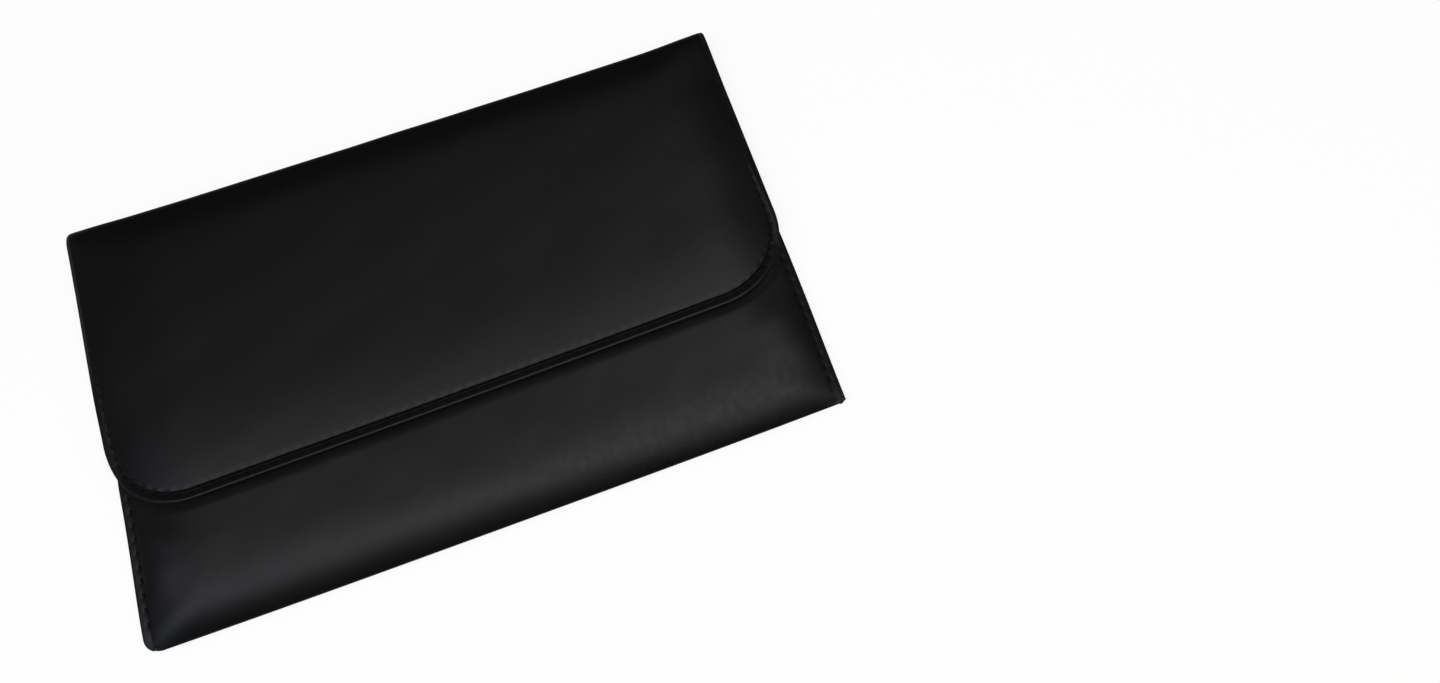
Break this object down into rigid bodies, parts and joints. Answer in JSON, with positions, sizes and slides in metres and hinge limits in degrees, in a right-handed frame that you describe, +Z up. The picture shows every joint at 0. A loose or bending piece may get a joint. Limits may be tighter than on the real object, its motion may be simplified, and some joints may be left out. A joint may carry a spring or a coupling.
{
  "type": "domino storage pouch",
  "caption": "Flat soft leatherette pouch for a set of dominoes: a sewn, lined pocket under a wide folding flap with rounded corners and a hidden magnetic closure.",
  "frame": {"origin": "centre of the closed pouch's underside, on the surface that it lies on", "axes": "+X along the width, +Y towards the top fold that carries the flap, +Z up out of the flap"},
  "size_m": [0.232, 0.144, 0.0121],
  "materials": {
    "leatherette": "smooth black satin leatherette",
    "lining": "black woven lining",
    "board": "grey pressed board",
    "foam": "thin soft foam sheet",
    "thread": "black twisted polyester thread",
    "magnet": "nickel-plated",
    "striker_steel": "plain"
  },
  "bodies": {
    "pocket": {"back_skin": "leatherette", "back_board": "board", "back_lining": "lining", "bottom_fold_skin": "leatherette", "bottom_border_skin": "leatherette", "left_border_skin": "leatherette", "right_border_skin": "leatherette", "border_lining": "lining", "left_seam_thread": "thread", "right_seam_thread": "thread"},
    "front": {"front_skin": "leatherette", "front_board": "board", "front_lining": "lining", "left_striker": "striker_steel", "right_striker": "striker_steel", "mouth_thread": "thread"},
    "spine": {"spine_skin": "leatherette", "spine_lining": "lining"},
    "flap": {"top_fold_skin": "leatherette", "flap_skin": "leatherette", "flap_foam": "foam", "flap_board": "board", "flap_lining": "lining", "left_magnet": "magnet", "right_magnet": "magnet", "flap_thread": "thread"}
  },
  "joints": [
    {"name": "spine_crease", "type": "hinge", "parent": "pocket", "child": "spine", "pos_m": [0, 0.0705, 0.0015], "axis": [-1, 0, 0], "range_deg": [0, 90]},
    {"name": "flap_crease", "type": "hinge", "parent": "spine", "child": "flap", "pos_m": [0, 0.0705, 0.01065], "axis": [-1, 0, 0], "range_deg": [0, 90]},
    {"name": "front_lift", "type": "slide", "parent": "pocket", "child": "front", "axis": [0, 0, 1], "range_m": [0, 0.016]}
  ],
  "couplings": [
    {"joint": "spine_crease", "follows": "flap_crease", "ratio": 1},
    {"joint": "front_lift", "follows": "flap_crease", "m_per_rad": 0.010185}
  ]
}
